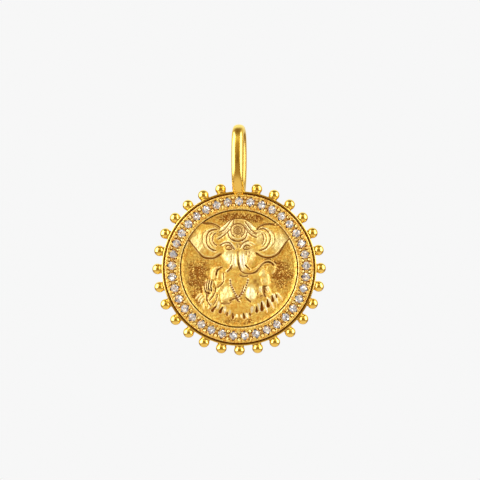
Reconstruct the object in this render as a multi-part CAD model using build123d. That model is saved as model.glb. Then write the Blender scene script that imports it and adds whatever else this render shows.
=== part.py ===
from build123d import *
import math
import os
import numpy as np

# Round medallion pendant: a pave ring setting with a beaded rim and a fixed bail, a cast relief
# of seated Ganesha set into the ring, and a circle of small brilliants. Lengths are millimetres.
# The origin is the inner top of the bail, where the chain carries the pendant. X runs to the
# viewer's right, Z up, and the relief faces -Y.

# Ring setting, in plan
rim_radius = 9.78
lip_width = 0.19
groove_width = 0.20
outer_band_width = 0.33
channel_width = 1.10
inner_band_width = 0.48

# Ring setting, heights above the back
back_plate = 0.55
groove_floor_height = 1.45
lip_height = 1.70
band_height = 2.00
channel_depth = 0.14

# Rounded edges of the setting, and the most of its wall that a round may take
back_edge_round = 0.30
lip_round = 0.05
band_round = 0.08
ROUND_LIMIT = 0.45

# Brilliants and their seats
stone_diameter = 1.05
stone_gap = 0.39
girdle_height = 0.03
table_share = 0.56
crown_angle = 34.5
star_angle = 21.0
upper_girdle_angle = 41.0
pavilion_angle = 41.0
lower_girdle_angle = 42.5
stone_clearance = 0.02
grain_radius = 0.22
grain_share_above = 0.55
grain_inset = 0.09

# Beads round the rim
bead_radius = 0.68
bead_gap = 0.95
bead_standoff = 0.54
stem_radius = 0.56
stem_foot_radius = 0.60

# Bail, a closed oval loop of round wire
bail_wire_radius = 0.74
bail_depth = 6.00
bail_height = 9.20
bail_sink = 0.72
bail_turn = -6.0

# Relief plate, set into the ring
seam_width = 0.16
seam_under = 0.02
ear_seam = 0.02
floor_height = 1.15
shoulder_rise = 0.15
cove_width = 0.60
relief_height = 0.70
cast_softness = 0.34
relief_cells = 60

# Section of a ridge: exponent of its round profile. Petals are widest at the belly and taper off
RIDGE_FULLNESS = 0.35
PETAL_BELLY = 0.35
PETAL_TAPER = 0.75

# Steps across the width in which the casting softens an edge, as shares of half that width
SOFTENING_STEPS = (-0.75, -0.25, 0.25, 0.75)

# Places and half sizes in the relief tables are shares of the seam circle's radius, x to the
# right and z up from the disc's centre. Rises are shares of relief_height above the dish floor.

# Flat plates with rounded edges: rise, width of the rounded edge, outline
PLATES = {
    "left_ear": (0.62, 0.07, (
        (-0.28, 0.66), (-0.40, 0.74), (-0.50, 0.765), (-0.60, 0.755), (-0.74, 0.70), (-1.05, 0.62),
        (-1.05, 0.46), (-0.87, 0.47), (-0.80, 0.40), (-0.70, 0.27), (-0.62, 0.205), (-0.50, 0.18),
        (-0.40, 0.20), (-0.26, 0.27))),
    "right_ear": (0.62, 0.07, (
        (0.26, 0.66), (0.36, 0.74), (0.45, 0.765), (0.55, 0.77), (0.72, 0.70), (1.05, 0.62),
        (1.05, 0.46), (0.85, 0.48), (0.75, 0.385), (0.70, 0.31), (0.62, 0.235), (0.55, 0.205),
        (0.45, 0.195), (0.26, 0.28))),
    "head": (0.80, 0.06, (
        (-0.08, 0.855), (0.08, 0.855), (0.20, 0.77), (0.32, 0.66), (0.33, 0.50), (0.30, 0.30),
        (0.27, 0.16), (0.16, 0.04), (-0.08, -0.02), (-0.19, 0.06), (-0.28, 0.18), (-0.30, 0.30),
        (-0.34, 0.50), (-0.34, 0.67), (-0.21, 0.77))),
    "torso": (0.34, 0.08, (
        (-0.30, 0.02), (0.30, -0.04), (0.48, -0.10), (0.44, -0.42), (0.32, -0.60), (-0.36, -0.62),
        (-0.42, -0.32), (-0.48, -0.10))),
    "seat": (0.24, 0.05, (
        (-0.52, -0.48), (0.58, -0.40), (0.56, -0.58), (0.40, -0.70), (0.20, -0.79), (0.00, -0.81),
        (-0.20, -0.78), (-0.42, -0.70), (-0.54, -0.60))),
}

# Rounded pads: x, z, half length, half width, turn in degrees, rise
PADS = {
    "forehead": (-0.01, 0.52, 0.27, 0.30, 0, 0.92),
    "left_cheek": (-0.18, 0.20, 0.11, 0.16, 12, 0.86),
    "right_cheek": (0.20, 0.21, 0.10, 0.15, -12, 0.86),
    "left_face_ridge": (-0.085, 0.15, 0.075, 0.18, 4, 0.94),
    "left_eye": (-0.19, 0.365, 0.060, 0.040, -8, 0.96),
    "right_eye": (0.13, 0.365, 0.060, 0.040, 8, 0.96),
    "forehead_mark": (-0.02, 0.65, 0.11, 0.11, 0, 0.99),
    "chest": (-0.01, -0.16, 0.22, 0.20, 0, 0.46),
    "belly": (-0.02, -0.35, 0.16, 0.20, 0, 0.58),
    "left_knee": (-0.22, -0.45, 0.13, 0.17, 8, 0.72),
    "right_knee": (0.20, -0.42, 0.10, 0.17, -6, 0.72),
    "sweet": (0.50, 0.00, 0.125, 0.13, 0, 0.52),
    "right_shoulder": (0.42, -0.10, 0.09, 0.12, 0, 0.56),
    "left_inner_arm": (-0.33, -0.09, 0.07, 0.12, -10, 0.46),
    "left_palm": (-0.49, -0.29, 0.09, 0.13, 0, 0.34),
    "lap": (-0.01, -0.655, 0.29, 0.13, 0, 0.52),
}

# Round ridges: half width at the start and the end, rise at the start and the end, route
RIDGES = {
    "trunk": (0.075, 0.040, 1.04, 0.76, (
        (0.06, 0.31), (0.06, 0.16), (0.08, 0.05), (0.16, -0.02), (0.25, -0.02), (0.34, 0.03))),
    "trunk_tip": (0.036, 0.026, 0.76, 0.60, (
        (0.34, 0.03), (0.42, 0.10), (0.50, 0.135), (0.58, 0.10), (0.62, 0.02))),
    "left_tusk": (0.022, 0.014, 0.88, 0.56, ((-0.13, 0.06), (-0.17, -0.01), (-0.23, -0.05))),
    "right_tusk": (0.022, 0.014, 0.96, 0.66, ((0.12, 0.09), (0.18, 0.01), (0.24, -0.03))),
    "left_brow": (0.024, 0.018, 0.98, 0.96, ((-0.30, 0.42), (-0.19, 0.46), (-0.10, 0.40), (-0.06, 0.33))),
    "right_brow": (0.018, 0.024, 0.96, 0.98, ((0.03, 0.34), (0.07, 0.41), (0.14, 0.45), (0.28, 0.40))),
    "crescent": (0.024, 0.024, 0.99, 0.99, (
        (-0.17, 0.60), (-0.13, 0.52), (-0.02, 0.485), (0.09, 0.52), (0.13, 0.60))),
    "left_shoulder": (0.045, 0.055, 0.46, 0.56, (
        (-0.24, 0.00), (-0.33, 0.03), (-0.42, 0.00), (-0.455, -0.08), (-0.45, -0.18))),
    "left_forearm": (0.075, 0.060, 0.54, 0.50, ((-0.42, -0.20), (-0.35, -0.24), (-0.28, -0.18))),
    "finger_1": (0.022, 0.022, 0.46, 0.42, ((-0.535, -0.19), (-0.545, -0.34))),
    "finger_2": (0.022, 0.022, 0.50, 0.46, ((-0.49, -0.19), (-0.50, -0.36))),
    "finger_3": (0.022, 0.022, 0.50, 0.46, ((-0.445, -0.20), (-0.45, -0.36))),
    "left_cord": (0.022, 0.018, 0.36, 0.32, (
        (-0.585, -0.28), (-0.575, -0.42), (-0.57, -0.53), (-0.545, -0.63))),
    "left_drape_1": (0.034, 0.026, 0.46, 0.36, ((-0.40, -0.34), (-0.43, -0.45), (-0.50, -0.55))),
    "left_drape_2": (0.034, 0.026, 0.46, 0.36, ((-0.365, -0.44), (-0.385, -0.55), (-0.45, -0.64))),
    "right_arm": (0.070, 0.060, 0.56, 0.50, ((0.42, -0.12), (0.46, -0.21), (0.47, -0.30))),
    "right_hand_1": (0.050, 0.036, 0.56, 0.44, ((0.39, -0.31), (0.36, -0.40), (0.35, -0.46))),
    "right_hand_2": (0.046, 0.034, 0.56, 0.44, ((0.47, -0.30), (0.52, -0.38), (0.54, -0.46))),
}

# Lotus petals and leaves: x and z of the root, x and z of the tip, half width, rise
PETALS = (
    (-0.66, -0.42, -0.76, -0.55, 0.030, 0.26),
    (-0.60, -0.50, -0.70, -0.62, 0.034, 0.28),
    (-0.54, -0.60, -0.62, -0.70, 0.032, 0.28),
    (-0.47, -0.60, -0.53, -0.76, 0.040, 0.36),
    (-0.36, -0.62, -0.40, -0.78, 0.050, 0.42),
    (-0.24, -0.68, -0.25, -0.81, 0.046, 0.42),
    (-0.13, -0.72, -0.14, -0.85, 0.040, 0.40),
    (0.00, -0.72, 0.00, -0.86, 0.052, 0.44),
    (0.12, -0.72, 0.13, -0.85, 0.036, 0.40),
    (0.23, -0.68, 0.24, -0.81, 0.044, 0.42),
    (0.32, -0.60, 0.48, -0.77, 0.046, 0.44),
    (0.42, -0.52, 0.60, -0.71, 0.044, 0.42),
    (0.53, -0.44, 0.67, -0.62, 0.042, 0.38),
    (0.63, -0.40, 0.76, -0.57, 0.036, 0.32),
)

# Creases cut into the forms: half width, depth, route
CREASES = {
    "left_ear_fold": (0.026, 0.16, (
        (-0.36, 0.67), (-0.50, 0.655), (-0.56, 0.56), (-0.56, 0.46), (-0.51, 0.36), (-0.40, 0.31))),
    "left_ear_curl": (0.022, 0.12, (
        (-0.38, 0.60), (-0.44, 0.55), (-0.455, 0.48), (-0.43, 0.42), (-0.37, 0.39))),
    "right_ear_fold": (0.026, 0.16, (
        (0.40, 0.68), (0.49, 0.64), (0.53, 0.55), (0.52, 0.45), (0.47, 0.36), (0.36, 0.31))),
    "right_ear_curl": (0.022, 0.12, ((0.38, 0.60), (0.42, 0.54), (0.42, 0.47), (0.38, 0.41))),
    "left_band_1": (0.022, 0.14, ((-0.12, 0.83), (-0.18, 0.74), (-0.26, 0.65), (-0.36, 0.59))),
    "left_band_2": (0.020, 0.12, ((-0.17, 0.68), (-0.26, 0.58), (-0.37, 0.51))),
    "right_band_1": (0.022, 0.14, ((0.11, 0.80), (0.17, 0.70), (0.24, 0.62), (0.33, 0.58))),
    "right_band_2": (0.020, 0.12, ((0.13, 0.64), (0.20, 0.57), (0.30, 0.52))),
    "mark_ring": (0.020, 0.12, (
        (-0.02, 0.585), (0.026, 0.604), (0.045, 0.65), (0.026, 0.696), (-0.02, 0.715), (-0.066, 0.696),
        (-0.085, 0.65), (-0.066, 0.604), (-0.02, 0.585))),
    "under_crescent": (0.026, 0.20, ((-0.11, 0.475), (-0.02, 0.455), (0.07, 0.475))),
    "trunk_side": (0.020, 0.26, ((-0.018, 0.28), (-0.015, 0.15), (0.00, 0.04), (0.05, -0.05))),
    "left_eye_corner": (0.022, 0.16, ((-0.20, 0.330), (-0.135, 0.340))),
    "right_eye_corner": (0.022, 0.16, ((0.075, 0.335), (0.14, 0.330))),
    "armlet": (0.016, 0.12, ((0.37, -0.15), (0.52, -0.16))),
    "left_elbow": (0.020, 0.18, ((-0.27, -0.09), (-0.265, -0.22), (-0.36, -0.32))),
    "thread": (0.018, 0.16, ((0.08, -0.31), (0.05, -0.38), (0.00, -0.48))),
    "clasp": (0.030, 0.20, ((-0.13, -0.555), (-0.06, -0.52), (0.00, -0.535))),
    "left_beads": (0.016, -0.08, ((-0.17, -0.20), (-0.15, -0.28), (-0.11, -0.36), (-0.06, -0.46))),
    "right_beads": (0.016, -0.08, ((0.16, -0.21), (0.14, -0.29), (0.11, -0.37), (0.05, -0.46))),
}

# Radii and places that follow from the sizes above
lip_inner_radius = rim_radius - lip_width
ring_outer_radius = lip_inner_radius - groove_width
channel_outer_radius = ring_outer_radius - outer_band_width
channel_inner_radius = channel_outer_radius - channel_width
ring_inner_radius = channel_inner_radius - inner_band_width
plate_radius = ring_inner_radius - seam_width
seam_circle_radius = ring_inner_radius - seam_width / 2
channel_floor_height = band_height - channel_depth
stone_circle_radius = (channel_outer_radius + channel_inner_radius) / 2
stone_radius = stone_diameter / 2
grain_row_offset = channel_width / 2 - grain_inset
stone_count = int(2 * math.pi * stone_circle_radius / (stone_diameter + stone_gap))
bead_circle_radius = rim_radius + bead_standoff
bead_places = 2 * int(math.pi * bead_circle_radius / (2 * bead_radius + bead_gap))
bail_top_reach = rim_radius - bail_sink + bail_height
disc_centre_drop = bail_top_reach - 2 * bail_wire_radius

# Sketch frame of the medallion: x to the right, y up the face, height out of the back
medallion_plane = Plane(
    origin=(0, band_height / 2, -disc_centre_drop), x_dir=(1, 0, 0), z_dir=(0, -1, 0)
)


def ring_setting_body():
    """Shallow cup with the rim, the groove, the two bands and the channel, turned in one section."""
    lip_edge = min(lip_round, ROUND_LIMIT * lip_width)
    band_edge = min(band_round, ROUND_LIMIT * min(outer_band_width, inner_band_width))
    section = FilletPolyline(
        (0, 0),
        (rim_radius, 0),
        (rim_radius, lip_height),
        (lip_inner_radius, lip_height),
        (lip_inner_radius, groove_floor_height),
        (ring_outer_radius, groove_floor_height),
        (ring_outer_radius, band_height),
        (channel_outer_radius, band_height),
        (channel_outer_radius, channel_floor_height),
        (channel_inner_radius, channel_floor_height),
        (channel_inner_radius, band_height),
        (ring_inner_radius, band_height),
        (ring_inner_radius, back_plate),
        (0, back_plate),
        radius=(0, back_edge_round, lip_edge, lip_edge, 0, 0, band_edge, 0, 0, 0, 0, band_edge, 0, 0),
        close=True,
    )
    return revolve(Plane.XZ * make_face(section), axis=Axis.Z)


def around(radius, angle, height=0):
    """Place on a circle of the face, with the angle counted clockwise from the top."""
    turn = math.radians(angle)
    return Pos(radius * math.sin(turn), radius * math.cos(turn), height) * Rot(Z=-angle)


def brilliant():
    """Round cut stone with the girdle's lower edge at height 0: prism cut by tiers of facets."""
    table_radius = stone_radius * table_share
    crown_height = (stone_radius - table_radius) * math.tan(math.radians(crown_angle))
    flat_radius = stone_radius * math.cos(math.pi / 16)
    star_radius = table_radius * math.cos(math.pi / 8)
    top = girdle_height + crown_height
    depth = stone_radius * math.tan(math.radians(pavilion_angle))
    stone = extrude(RegularPolygon(stone_radius, 16), amount=top)
    stone += extrude(RegularPolygon(stone_radius, 16), amount=-depth)
    # Tiers: copies, first angle, slope, distance from the axis and height of the cut, side cut
    tiers = (
        (8, 0.0, crown_angle, stone_radius, girdle_height, 1),
        (16, 11.25, upper_girdle_angle, flat_radius, girdle_height, 1),
        (8, 22.5, star_angle, star_radius, top, 1),
        (8, 0.0, pavilion_angle, stone_radius, 0.0, -1),
        (16, 11.25, lower_girdle_angle, flat_radius, 0.0, -1),
    )
    for copies, first_angle, slope, distance, height, side in tiers:
        for index in range(copies):
            turn = math.radians(first_angle + 360 / copies * index)
            tilt = math.radians(slope)
            normal = (
                math.sin(tilt) * math.cos(turn),
                math.sin(tilt) * math.sin(turn),
                side * math.cos(tilt),
            )
            point = (distance * math.cos(turn), distance * math.sin(turn), height)
            stone = split(stone, bisect_by=Plane(origin=point, z_dir=normal), keep=Keep.BOTTOM)
    return stone


def stone_seat():
    """Drilled seat with the girdle's lower edge at height 0, a clearance wider than the stone."""
    seat_radius = stone_radius + stone_clearance
    depth = seat_radius * math.tan(math.radians(pavilion_angle)) + stone_clearance
    section = Polyline(
        (0, -depth), (seat_radius, -stone_clearance), (seat_radius, band_height), (0, band_height),
        close=True,
    )
    return revolve(Plane.XZ * make_face(section), axis=Axis.Z)


def grains():
    """Small round grains that hold the stones, one pair between each stone and the next."""
    sunk = grain_radius * (1 - grain_share_above)
    step = 360 / stone_count
    return [
        around(stone_circle_radius + side * grain_row_offset, (index + 0.5) * step)
        * Pos(0, 0, channel_floor_height - sunk)
        * Sphere(grain_radius)
        for index in range(stone_count)
        for side in (-1, 1)
    ]


def rim_beads():
    """Beads on short stems round the rim, one at each place but the top one, which the bail takes."""
    middle = band_height / 2
    root_radius = rim_radius - lip_width / 2
    reach = bead_circle_radius - root_radius
    stem = Pos(0, root_radius, middle) * Rot(X=-90) * Cone(
        stem_foot_radius, stem_radius, reach, align=(Align.CENTER, Align.CENTER, Align.MIN)
    )
    bead = stem + Pos(0, bead_circle_radius, middle) * Sphere(bead_radius)
    return [Rot(Z=-360 / bead_places * place) * bead for place in range(1, bead_places)]


def bail():
    """Closed oval loop of round wire, seen edge-on and turned a little about its own height."""
    loop = SlotCenterToCenter(
        bail_height - bail_depth, bail_depth - 2 * bail_wire_radius, rotation=90
    ).wire()
    route = Plane.YZ * loop
    section = Plane(origin=route @ 0, z_dir=route % 0) * Circle(bail_wire_radius)
    ring = sweep(section, path=route)
    return Rot(Z=bail_turn) * Pos(0, 0, 2 * bail_wire_radius - bail_height / 2) * ring


def ring_setting():
    """Everything that is soldered or cast together: cup, bail, grains and beads, less the seats."""
    on_face = medallion_plane.location
    body = on_face * ring_setting_body() + bail()
    body -= [on_face * place * stone_seat() for place in stone_places()]
    body += [on_face * grain for grain in grains()]
    body += [on_face * bead for bead in rim_beads()]
    return body


def stone_places():
    """Places of the girdles' lower edges: the upper edges lie just under the channel floor."""
    height = channel_floor_height - stone_clearance - girdle_height
    return [
        around(stone_circle_radius, 360 / stone_count * index, height)
        for index in range(stone_count)
    ]


def inside(outline, x, y):
    """True where the points lie inside a closed outline."""
    within = np.zeros(x.shape, dtype=bool)
    for (x1, y1), (x2, y2) in zip(outline, outline[1:] + outline[:1]):
        spans = (y1 > y) != (y2 > y)
        crossing = x1 + (y - y1) * (x2 - x1) / (y2 - y1 if y2 != y1 else 1)
        within ^= spans & (x < crossing)
    return within


def along_route(route, x, y):
    """Distance from the points to a route, and the share of the route's length at the nearest place."""
    lengths = [math.dist(a, b) for a, b in zip(route, route[1:])]
    nearest = np.full(x.shape, np.inf)
    share = np.zeros(x.shape)
    done = 0
    for (x1, y1), (x2, y2), length in zip(route, route[1:], lengths):
        along = ((x - x1) * (x2 - x1) + (y - y1) * (y2 - y1)) / length**2
        along = np.clip(along, 0, 1)
        distance = np.hypot(x - x1 - along * (x2 - x1), y - y1 - along * (y2 - y1))
        closer = distance < nearest
        share = np.where(closer, (done + along * length) / sum(lengths), share)
        nearest = np.where(closer, distance, nearest)
        done += length
    return nearest, share


def rounded(route, steps=5):
    """Smooth route through the chosen points, as a Catmull-Rom curve."""
    points = [route[0], *route, route[-1]]
    smooth = []
    for before, start, end, after in zip(points, points[1:], points[2:], points[3:]):
        for step in range(steps):
            t = step / steps
            smooth.append(tuple(
                start[k]
                + t * (end[k] - before[k]) / 2
                + t**2 * (before[k] - 2.5 * start[k] + 2 * end[k] - after[k] / 2)
                + t**3 * (1.5 * (start[k] - end[k]) + (after[k] - before[k]) / 2)
                for k in range(2)
            ))
    return tuple(smooth) + (route[-1],)


def plate_rise(x, y, rise, edge, outline):
    """Flat plate whose edge rounds over within the given width."""
    distance, _ = along_route(outline + outline[:1], x, y)
    inward = np.clip(distance / edge, 0, 1)
    return np.where(inside(outline, x, y), rise * np.sqrt(1 - (1 - inward) ** 2), 0)


def pad_rise(x, y, centre_x, centre_y, half_length, half_width, turn, rise):
    """Rounded pad over an ellipse, turned counterclockwise."""
    turn = math.radians(turn)
    across = (x - centre_x) * math.cos(turn) + (y - centre_y) * math.sin(turn)
    up = (y - centre_y) * math.cos(turn) - (x - centre_x) * math.sin(turn)
    square = (across / half_length) ** 2 + (up / half_width) ** 2
    return rise * np.sqrt(np.clip(1 - square, 0, 1))


def ridge_rise(x, y, start_width, end_width, start_rise, end_rise, route):
    """Ridge with a full round section whose width and rise change along its route."""
    distance, share = along_route(rounded(route), x, y)
    width = start_width + (end_width - start_width) * share
    rise = start_rise + (end_rise - start_rise) * share
    return rise * np.clip(1 - (distance / width) ** 2, 0, 1) ** RIDGE_FULLNESS


def petal_rise(x, y, root_x, root_y, tip_x, tip_y, half_width, rise):
    """Petal: a ridge that swells from its root to a third of its length and tapers to its tip."""
    distance, share = along_route(((root_x, root_y), (tip_x, tip_y)), x, y)
    swell = 1 - PETAL_TAPER * np.abs(share - PETAL_BELLY) ** 2 / (1 - PETAL_BELLY) ** 2
    return rise * np.clip(1 - (distance / (half_width * swell)) ** 2, 0, 1) ** RIDGE_FULLNESS


def figure_rise(x, y):
    """Rise of the whole figure above the dish, at places in shares of the seam circle's radius."""
    rises = [plate_rise(x, y, *row) for row in PLATES.values()]
    rises += [pad_rise(x, y, *row) for row in PADS.values()]
    rises += [ridge_rise(x, y, *row) for row in RIDGES.values()]
    rises += [petal_rise(x, y, *row) for row in PETALS]
    figure = np.maximum.reduce(rises)
    for half_width, depth, route in CREASES.values():
        distance, _ = along_route(rounded(route), x, y)
        figure = figure - depth * np.clip(1 - (distance / half_width) ** 2, 0, 1)
    return np.clip(figure, 0, None)


def softened_rise(x, y):
    """Rise as it is cast: each place takes the mean over the width in which an edge softens."""
    reach = cast_softness / 2 / seam_circle_radius
    offsets = reach * np.array(SOFTENING_STEPS)
    rises = [figure_rise(x + across, y + up) for across in offsets for up in offsets]
    return sum(rises) / len(rises)


def relief_grid():
    """Places and heights of the relief plate's face, on a square grid drawn out to a disc."""
    steps = np.linspace(-1, 1, relief_cells + 1)
    across, up = np.meshgrid(steps, steps, indexing="ij")
    x = plate_radius * across * np.sqrt(1 - up**2 / 2)
    y = plate_radius * up * np.sqrt(1 - across**2 / 2)
    at_edge = np.maximum(np.abs(across), np.abs(up)) == 1
    # Where an ear meets the edge it reaches across the seam
    under_ear = at_edge & (
        inside(PLATES["left_ear"][2], x / plate_radius, y / plate_radius)
        | inside(PLATES["right_ear"][2], x / plate_radius, y / plate_radius)
    )
    stretch = np.where(under_ear, (ring_inner_radius - ear_seam) / plate_radius, 1)
    cove = np.clip(1 + (np.hypot(x, y) - plate_radius) / cove_width, 0, 1) ** 2
    figure = softened_rise(x / seam_circle_radius, y / seam_circle_radius)
    height = floor_height + shoulder_rise * cove + relief_height * figure
    return x * stretch, y * stretch, height


def polygon(*corners):
    return Face(Wire.make_polygon(corners))


def relief_plate():
    """Cast relief: the dish with the figure raised on it, closed by its wall and flat underside."""
    x, y, height = relief_grid()
    top = [
        [Vector(x[i, j], y[i, j], height[i, j]) for j in range(relief_cells + 1)]
        for i in range(relief_cells + 1)
    ]
    faces = []
    for i in range(relief_cells):
        for j in range(relief_cells):
            a, b, c, d = top[i][j], top[i + 1][j], top[i + 1][j + 1], top[i][j + 1]
            if a.Z == b.Z == c.Z == d.Z:
                faces.append(polygon(a, b, c, d))
            elif (i < relief_cells / 2) == (j < relief_cells / 2):
                faces += [polygon(a, b, d), polygon(b, c, d)]
            else:
                faces += [polygon(a, b, c), polygon(a, c, d)]
    last = relief_cells
    rim = (
        [top[i][0] for i in range(last)]
        + [top[last][j] for j in range(last)]
        + [top[i][last] for i in range(last, 0, -1)]
        + [top[0][j] for j in range(last, 0, -1)]
    )
    underside = [Vector(corner.X, corner.Y, back_plate + seam_under) for corner in rim]
    for k in range(len(rim)):
        faces.append(polygon(underside[k - 1], underside[k], rim[k], rim[k - 1]))
    faces.append(polygon(*underside))
    return medallion_plane.location * Solid(Shell(faces))


def export(shape, name):
    export_step(shape, f"parts/{name}.step")


os.makedirs("parts", exist_ok=True)
export(ring_setting(), "ring_setting")
export(relief_plate(), "ganesha_relief")
stone = brilliant()
for number, place in enumerate(stone_places(), start=1):
    export(medallion_plane.location * place * stone, f"stone_{number:02d}")
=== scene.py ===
import math

import bpy
import numpy as np
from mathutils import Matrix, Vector


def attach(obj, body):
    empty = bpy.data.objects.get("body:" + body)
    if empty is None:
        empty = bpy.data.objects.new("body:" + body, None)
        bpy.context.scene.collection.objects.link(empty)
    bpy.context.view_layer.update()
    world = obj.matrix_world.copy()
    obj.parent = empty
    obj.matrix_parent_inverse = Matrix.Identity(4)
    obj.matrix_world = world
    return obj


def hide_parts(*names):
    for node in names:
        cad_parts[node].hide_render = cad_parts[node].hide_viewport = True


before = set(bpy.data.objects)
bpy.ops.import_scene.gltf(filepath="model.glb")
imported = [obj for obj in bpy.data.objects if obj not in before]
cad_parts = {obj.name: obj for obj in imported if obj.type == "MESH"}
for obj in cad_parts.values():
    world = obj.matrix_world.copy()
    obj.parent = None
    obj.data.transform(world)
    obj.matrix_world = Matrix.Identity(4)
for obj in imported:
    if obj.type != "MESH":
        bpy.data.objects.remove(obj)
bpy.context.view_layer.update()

# Round gold medallion pendant: pave ring setting, beaded rim, fixed bail and a cast relief of
# seated Ganesha. Sizes are millimetres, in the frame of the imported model: the origin is the inner
# top of the bail, X runs to the viewer's right, Z up, and the relief faces -Y. A place on the
# medallion is x to the right, z up from the disc's centre, and h out of the back.
MM = 0.001
rng = np.random.default_rng(7)

# Ring setting
rim_radius = 9.78
lip_width = 0.23
groove_width = 0.16
outer_band_width = 0.33
channel_width = 1.10
inner_band_width = 0.48
back_plate = 0.55
groove_floor_height = 1.45
lip_height = 1.70
band_height = 2.00
channel_depth = 0.14
back_edge_round = 0.30
lip_round = 0.12
lip_inner_round = 0.05
groove_round = 0.06

# Ledge of the cup, under the pave ring
ledge_height = 1.20
ledge_reach = 0.08

# Brilliants, their seats and their grains
stone_diameter = 1.05
stone_gap = 0.39
seat_radius = 0.505
seat_drop = 0.06
seat_slope = 0.95
collar_rise = 0.04
bridge_rise = 0.07
bridge_half_width = 0.42
bridge_half_share = 0.09
notch_depth = 0.26
notch_across = 0.575
notch_half_sizes = (0.07, 0.14)
prong_radius = 0.13
prong_across = 0.42
prong_along = 0.34
prong_sink = 0.02
grain_radius = 0.22
grain_inset = 0.09
grain_sink = 0.06
moat_depth = 0.10
moat_middle = 0.03
moat_half_width = 0.06
moat_reach = 0.62
band_round = 0.19
band_round_depth = 0.08
channel_wall = 0.05

# Beads and bail, which stay a little inside the solids' box
bead_radius = 0.68
bead_gap = 0.95
bead_standoff = 0.54
bead_turn = -0.25
stem_radius = 0.56
stem_foot_radius = 0.60
stem_sink = 0.06
bail_wire_radius = 0.74
bail_depth = 6.00
bail_height = 9.20
bail_sink = 0.72
bail_turn = -6.0
bail_squareness = 2.6
bail_squareness_below = 1.9
wire_squareness = 2.5
inside_box = 0.010

# Relief plate
seam_width = 0.16
seam_under = 0.02
seam_play = 0.02
seam_floor_height = 1.16
ear_seam = 0.02
floor_height = 1.38
relief_height = 0.54
cove_width = 0.46
cove_rise = 0.14

# Radii and places that follow
lip_inner_radius = rim_radius - lip_width
ring_outer_radius = lip_inner_radius - groove_width
channel_outer_radius = ring_outer_radius - outer_band_width
channel_inner_radius = channel_outer_radius - channel_width
ring_inner_radius = channel_inner_radius - inner_band_width
plate_radius = ring_inner_radius - seam_width
seam_circle_radius = ring_inner_radius - seam_width / 2
channel_floor_height = band_height - channel_depth
stone_circle_radius = (channel_outer_radius + channel_inner_radius) / 2
stone_count = int(2 * math.pi * stone_circle_radius / (stone_diameter + stone_gap))
bead_circle_radius = rim_radius + bead_standoff
bead_places = 2 * int(math.pi * bead_circle_radius / (2 * bead_radius + bead_gap))
disc_centre_drop = rim_radius - bail_sink + bail_height - 2 * bail_wire_radius

# Photograph's view
PHOTO_SIDE = 480
PHOTO_SCALE = 0.12666
LENS = 200.0
SENSOR = 36.0
VIEW_CENTRE = (0.117, -13.167)


# Nodes

def add_node(tree, kind, inputs=None, **settings):
    """Makes a node with its settings, and gives each input a value or a link from a socket."""
    node = tree.nodes.new("ShaderNode" + kind)
    for name, value in settings.items():
        setattr(node, name, value)
    for key, value in (inputs or {}).items():
        if isinstance(value, bpy.types.NodeSocket):
            tree.links.new(value, node.inputs[key])
        else:
            node.inputs[key].default_value = value
    return node


def vector_math(tree, operation, *inputs):
    return add_node(tree, "VectorMath", dict(enumerate(inputs)), operation=operation).outputs["Vector"]


def noise(tree, scale, detail=3.0, stretch=(1, 1, 1)):
    """Noise over the object, drawn out along an axis where its stretch is below 1."""
    place = add_node(tree, "TexCoord").outputs["Object"]
    drawn = vector_math(tree, "MULTIPLY", place, stretch)
    texture = {"Vector": drawn, "Scale": scale, "Detail": detail, "Roughness": 0.55}
    return add_node(tree, "TexNoise", texture).outputs["Fac"]


def ranged(tree, value, low, high, out_low=0.0, out_high=1.0, **settings):
    """Value carried from one range to another."""
    ends = {"Value": value, "From Min": low, "From Max": high, "To Min": out_low, "To Max": out_high}
    return add_node(tree, "MapRange", ends, **settings).outputs["Result"]


def blend_colour(tree, factor, first, second):
    """Mix of two colours, each a tuple or a socket."""
    colours = {
        socket: (*colour, 1) if isinstance(colour, tuple) else colour
        for socket, colour in (("A", first), ("B", second))
    }
    return add_node(tree, "Mix", {"Factor": factor, **colours}, data_type="RGBA").outputs["Result"]


# Stage, camera and light, in metres

SEEN_TONE = (0.930, 0.930, 0.930)
FLOOR_TONE = (0.86, 0.66, 0.44)
FAR_FLOOR_TONE = (0.38, 0.23, 0.08)
FLOOR_HALF_SIDE = 3.0
FLOOR_DROP = 0.25
FLOOR_TONE_ENDS = (0.26, 0.40)
PANEL_RADIANCE = 2.7
PANEL_REACH = 0.60
PANEL_HEIGHTS = (-0.18, 0.72)

# Parts of the room as the metal mirrors them: middle direction, cosines of the angles from it at
# which the tone starts and is full, tone
ROOM_TONE = (0.75, 0.59, 0.24)
ROOM_PARTS = (
    ((0.0, 0.0, 1.0), 0.42, 0.78, (0.34, 0.22, 0.075)),
    ((0.0, -0.10, 0.99), 0.90, 0.97, (0.22, 0.125, 0.035)),
    ((0.0, -1.0, 0.0), 0.45, 0.75, (0.92, 0.71, 0.25)),
    ((0.0, -1.0, 0.10), 0.80, 0.91, (0.44, 0.26, 0.07)),
    ((0.0, -0.97, -0.24), 0.88, 0.96, (0.11, 0.045, 0.010)),
    ((0.0, 0.80, 0.60), 0.72, 0.90, (1.06, 1.02, 0.78)),
)


def make_camera():
    data = bpy.data.cameras.new("camera")
    data.lens = LENS
    data.sensor_width = SENSOR
    data.clip_start = 0.01
    data.clip_end = 20
    distance = PHOTO_SIDE * PHOTO_SCALE * LENS / SENSOR
    camera = bpy.data.objects.new("camera", data)
    camera.location = (VIEW_CENTRE[0] * MM, -distance * MM, VIEW_CENTRE[1] * MM)
    camera.rotation_euler = (math.pi / 2, 0, 0)
    bpy.context.scene.collection.objects.link(camera)
    bpy.context.scene.camera = camera


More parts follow.
